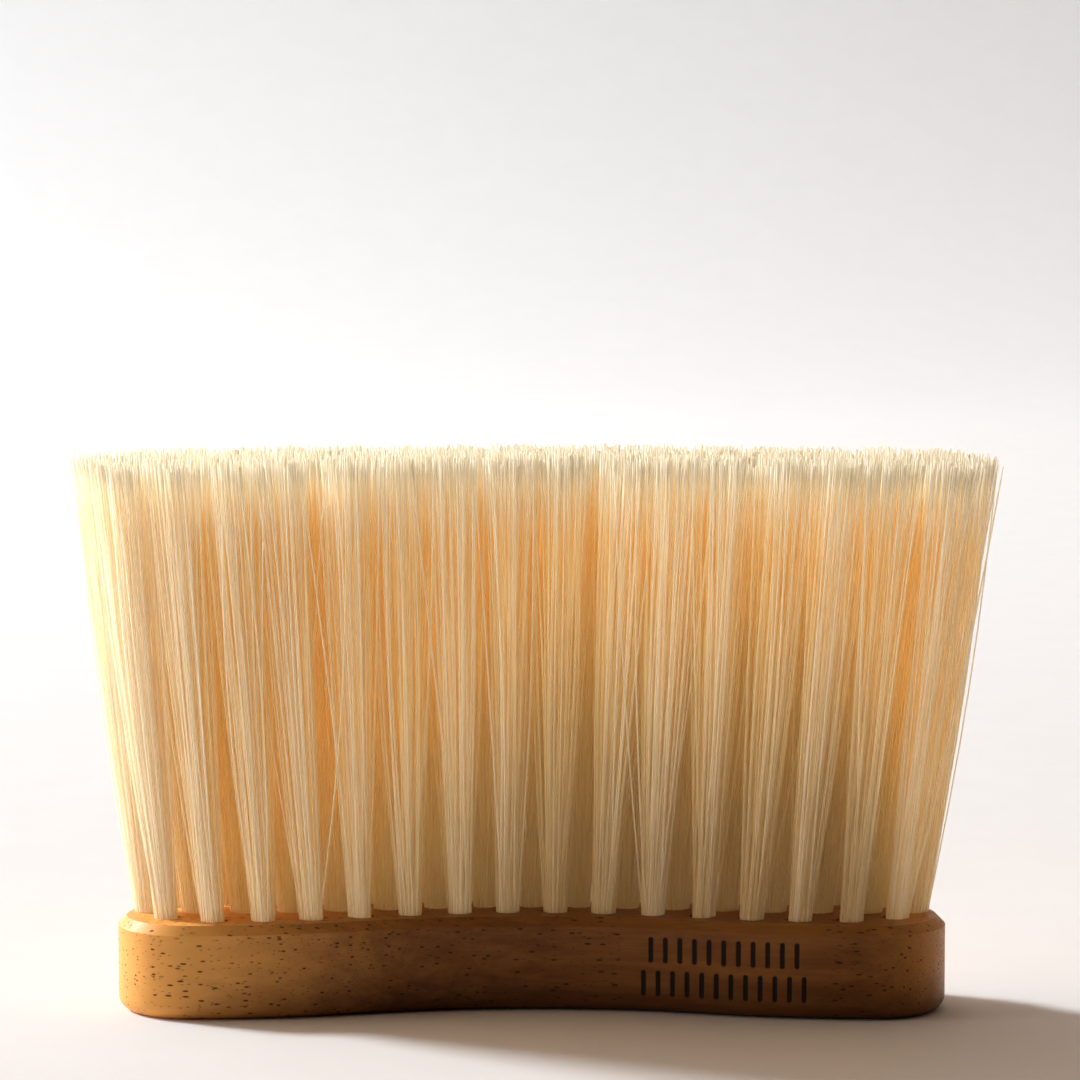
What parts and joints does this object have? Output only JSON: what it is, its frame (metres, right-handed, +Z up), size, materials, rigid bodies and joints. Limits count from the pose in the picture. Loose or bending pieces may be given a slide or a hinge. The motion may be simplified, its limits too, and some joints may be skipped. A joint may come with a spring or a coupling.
{
  "type": "neck duster brush",
  "caption": "Free-standing neck duster: a low kidney-shaped hardwood hand block carrying staggered rows of long pale bristle tufts that fan outward to a flat brushing edge.",
  "frame": {"origin": "on the floor under the middle of the whole brush's bounding box, with the block's flat underside at z = 0", "axes": "+X along the block's length, +Y from the hollowed front wall to the back, +Z up to the bristle tips"},
  "size_m": [0.1664, 0.0374, 0.1011],
  "materials": {
    "wood": "clear satin finish over honey-brown open-pored hardwood",
    "bristle": "waxy translucent cream filament",
    "anchor_wire": "drawn flat wire"
  },
  "bodies": {
    "root": {"front_row_anchors": "anchor_wire", "middle_row_anchors": "anchor_wire", "rear_row_anchors": "anchor_wire", "tuft_front_01": "bristle", "tuft_front_02": "bristle", "tuft_front_03": "bristle", "tuft_front_04": "bristle", "tuft_front_05": "bristle", "tuft_front_06": "bristle", "tuft_front_07": "bristle", "tuft_front_08": "bristle", "tuft_front_09": "bristle", "tuft_front_10": "bristle", "tuft_front_11": "bristle", "tuft_front_12": "bristle", "tuft_front_13": "bristle", "tuft_front_14": "bristle", "tuft_front_15": "bristle", "tuft_front_16": "bristle", "tuft_middle_01": "bristle", "tuft_middle_02": "bristle", "tuft_middle_03": "bristle", "tuft_middle_04": "bristle", "tuft_middle_05": "bristle", "tuft_middle_06": "bristle", "tuft_middle_07": "bristle", "tuft_middle_08": "bristle", "tuft_middle_09": "bristle", "tuft_middle_10": "bristle", "tuft_middle_11": "bristle", "tuft_middle_12": "bristle", "tuft_middle_13": "bristle", "tuft_middle_14": "bristle", "tuft_middle_15": "bristle", "tuft_middle_16": "bristle", "tuft_middle_17": "bristle", "tuft_rear_01": "bristle", "tuft_rear_02": "bristle", "tuft_rear_03": "bristle", "tuft_rear_04": "bristle", "tuft_rear_05": "bristle", "tuft_rear_06": "bristle", "tuft_rear_07": "bristle", "tuft_rear_08": "bristle", "tuft_rear_09": "bristle", "tuft_rear_10": "bristle", "tuft_rear_11": "bristle", "tuft_rear_12": "bristle", "tuft_rear_13": "bristle", "tuft_rear_14": "bristle", "tuft_rear_15": "bristle", "tuft_rear_16": "bristle", "wood_block": "wood"}
  },
  "joints": []
}
